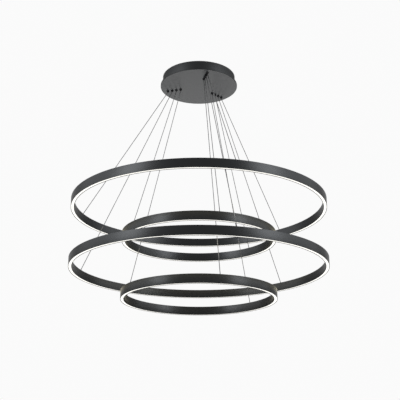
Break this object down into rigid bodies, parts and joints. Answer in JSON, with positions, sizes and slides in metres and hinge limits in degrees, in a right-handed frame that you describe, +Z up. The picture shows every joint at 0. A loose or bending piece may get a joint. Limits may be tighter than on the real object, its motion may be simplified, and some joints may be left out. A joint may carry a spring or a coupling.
{
  "type": "led ring chandelier",
  "caption": "Pendant light: slim graphite rings with glowing lower edges hang one below the other on thin cables from a round ceiling canopy.",
  "frame": {"origin": "centre of the ceiling screw circle, on the canopy's ceiling face", "axes": "+Z up into the ceiling, +X to the right and +Y to the back as seen from the front"},
  "size_m": [0.9999, 1, 0.938],
  "materials": {
    "ring_graphite": "satin anodised, graphite grey",
    "canopy_graphite": "semi-gloss powder coat, graphite grey",
    "opal_acrylic": "opal, lit from behind",
    "led_board_white": "white solder mask",
    "zinc_steel": "zinc plated",
    "black_steel": "black oxide, satin",
    "raw_aluminium": "mill finish",
    "rubber_black": "moulded",
    "driver_case": "moulded, fine grain",
    "terminal_nylon": "moulded nylon",
    "cable_sheath": "stranded steel cable in a clear sheath"
  },
  "bodies": {
    "canopy": {"mounting_plate": "zinc_steel", "entry_grommet": "rubber_black", "canopy_drum": "ring_graphite", "side_screws": "black_steel", "face_plate": "canopy_graphite", "stud_nuts": "zinc_steel", "led_driver_a": "driver_case", "led_driver_b": "driver_case", "plate_screws": "zinc_steel", "terminal_block": "terminal_nylon", "earth_nut": "zinc_steel", "gripper_barrels": "black_steel", "gripper_locknuts": "zinc_steel", "ring_1_cable_a": "cable_sheath", "ring_1_cable_b": "cable_sheath", "ring_1_cable_c": "cable_sheath", "ring_2_cable_a": "cable_sheath", "ring_2_cable_b": "cable_sheath", "ring_2_cable_c": "cable_sheath", "ring_3_cable_a": "cable_sheath", "ring_3_cable_b": "cable_sheath", "ring_3_cable_c": "cable_sheath", "ring_4_cable_a": "cable_sheath", "ring_4_cable_b": "cable_sheath", "ring_4_cable_c": "cable_sheath"},
    "ring_1": {"ring_1_channel": "ring_graphite", "ring_1_diffuser": "opal_acrylic", "ring_1_led_board": "led_board_white", "ring_1_bushes": "zinc_steel", "ring_1_joint_key": "raw_aluminium"},
    "ring_2": {"ring_2_channel": "ring_graphite", "ring_2_diffuser": "opal_acrylic", "ring_2_led_board": "led_board_white", "ring_2_bushes": "zinc_steel", "ring_2_joint_key": "raw_aluminium"},
    "ring_3": {"ring_3_channel": "ring_graphite", "ring_3_diffuser": "opal_acrylic", "ring_3_led_board": "led_board_white", "ring_3_bushes": "zinc_steel", "ring_3_joint_key": "raw_aluminium"},
    "ring_4": {"ring_4_channel": "ring_graphite", "ring_4_diffuser": "opal_acrylic", "ring_4_led_board": "led_board_white", "ring_4_bushes": "zinc_steel", "ring_4_joint_key": "raw_aluminium"},
    "release_1a": {"ring_1_plunger_a": "black_steel"},
    "release_1b": {"ring_1_plunger_b": "black_steel"},
    "release_1c": {"ring_1_plunger_c": "black_steel"},
    "release_2a": {"ring_2_plunger_a": "black_steel"},
    "release_2b": {"ring_2_plunger_b": "black_steel"},
    "release_2c": {"ring_2_plunger_c": "black_steel"},
    "release_3a": {"ring_3_plunger_a": "black_steel"},
    "release_3b": {"ring_3_plunger_b": "black_steel"},
    "release_3c": {"ring_3_plunger_c": "black_steel"},
    "release_4a": {"ring_4_plunger_a": "black_steel"},
    "release_4b": {"ring_4_plunger_b": "black_steel"},
    "release_4c": {"ring_4_plunger_c": "black_steel"}
  },
  "joints": [
    {"name": "ring_1_lift", "type": "slide", "parent": "canopy", "child": "ring_1", "axis": [0, 0, 1], "range_m": [0, 0.25], "deforming": ["ring_1_cable_a", "ring_1_cable_b", "ring_1_cable_c"]},
    {"name": "ring_2_lift", "type": "slide", "parent": "canopy", "child": "ring_2", "axis": [0, 0, 1], "range_m": [0, 0.15], "deforming": ["ring_2_cable_a", "ring_2_cable_b", "ring_2_cable_c"]},
    {"name": "ring_3_lift", "type": "slide", "parent": "canopy", "child": "ring_3", "axis": [0, 0, 1], "range_m": [0, 0.15], "deforming": ["ring_3_cable_a", "ring_3_cable_b", "ring_3_cable_c"]},
    {"name": "ring_4_lift", "type": "slide", "parent": "canopy", "child": "ring_4", "axis": [0, 0, 1], "range_m": [0, 0.12], "deforming": ["ring_4_cable_a", "ring_4_cable_b", "ring_4_cable_c"]},
    {"name": "release_1a_press", "type": "slide", "parent": "canopy", "child": "release_1a", "axis": [0, 0, 1], "range_m": [0, 0.002], "stiffness_N_per_m": 400, "springref_m": -0.002},
    {"name": "release_1b_press", "type": "slide", "parent": "canopy", "child": "release_1b", "axis": [0, 0, 1], "range_m": [0, 0.002], "stiffness_N_per_m": 400, "springref_m": -0.002},
    {"name": "release_1c_press", "type": "slide", "parent": "canopy", "child": "release_1c", "axis": [0, 0, 1], "range_m": [0, 0.002], "stiffness_N_per_m": 400, "springref_m": -0.002},
    {"name": "release_2a_press", "type": "slide", "parent": "canopy", "child": "release_2a", "axis": [0, 0, 1], "range_m": [0, 0.002], "stiffness_N_per_m": 400, "springref_m": -0.002},
    {"name": "release_2b_press", "type": "slide", "parent": "canopy", "child": "release_2b", "axis": [0, 0, 1], "range_m": [0, 0.002], "stiffness_N_per_m": 400, "springref_m": -0.002},
    {"name": "release_2c_press", "type": "slide", "parent": "canopy", "child": "release_2c", "axis": [0, 0, 1], "range_m": [0, 0.002], "stiffness_N_per_m": 400, "springref_m": -0.002},
    {"name": "release_3a_press", "type": "slide", "parent": "canopy", "child": "release_3a", "axis": [0, 0, 1], "range_m": [0, 0.002], "stiffness_N_per_m": 400, "springref_m": -0.002},
    {"name": "release_3b_press", "type": "slide", "parent": "canopy", "child": "release_3b", "axis": [0, 0, 1], "range_m": [0, 0.002], "stiffness_N_per_m": 400, "springref_m": -0.002},
    {"name": "release_3c_press", "type": "slide", "parent": "canopy", "child": "release_3c", "axis": [0, 0, 1], "range_m": [0, 0.002], "stiffness_N_per_m": 400, "springref_m": -0.002},
    {"name": "release_4a_press", "type": "slide", "parent": "canopy", "child": "release_4a", "axis": [0, 0, 1], "range_m": [0, 0.002], "stiffness_N_per_m": 400, "springref_m": -0.002},
    {"name": "release_4b_press", "type": "slide", "parent": "canopy", "child": "release_4b", "axis": [0, 0, 1], "range_m": [0, 0.002], "stiffness_N_per_m": 400, "springref_m": -0.002},
    {"name": "release_4c_press", "type": "slide", "parent": "canopy", "child": "release_4c", "axis": [0, 0, 1], "range_m": [0, 0.002], "stiffness_N_per_m": 400, "springref_m": -0.002}
  ]
}
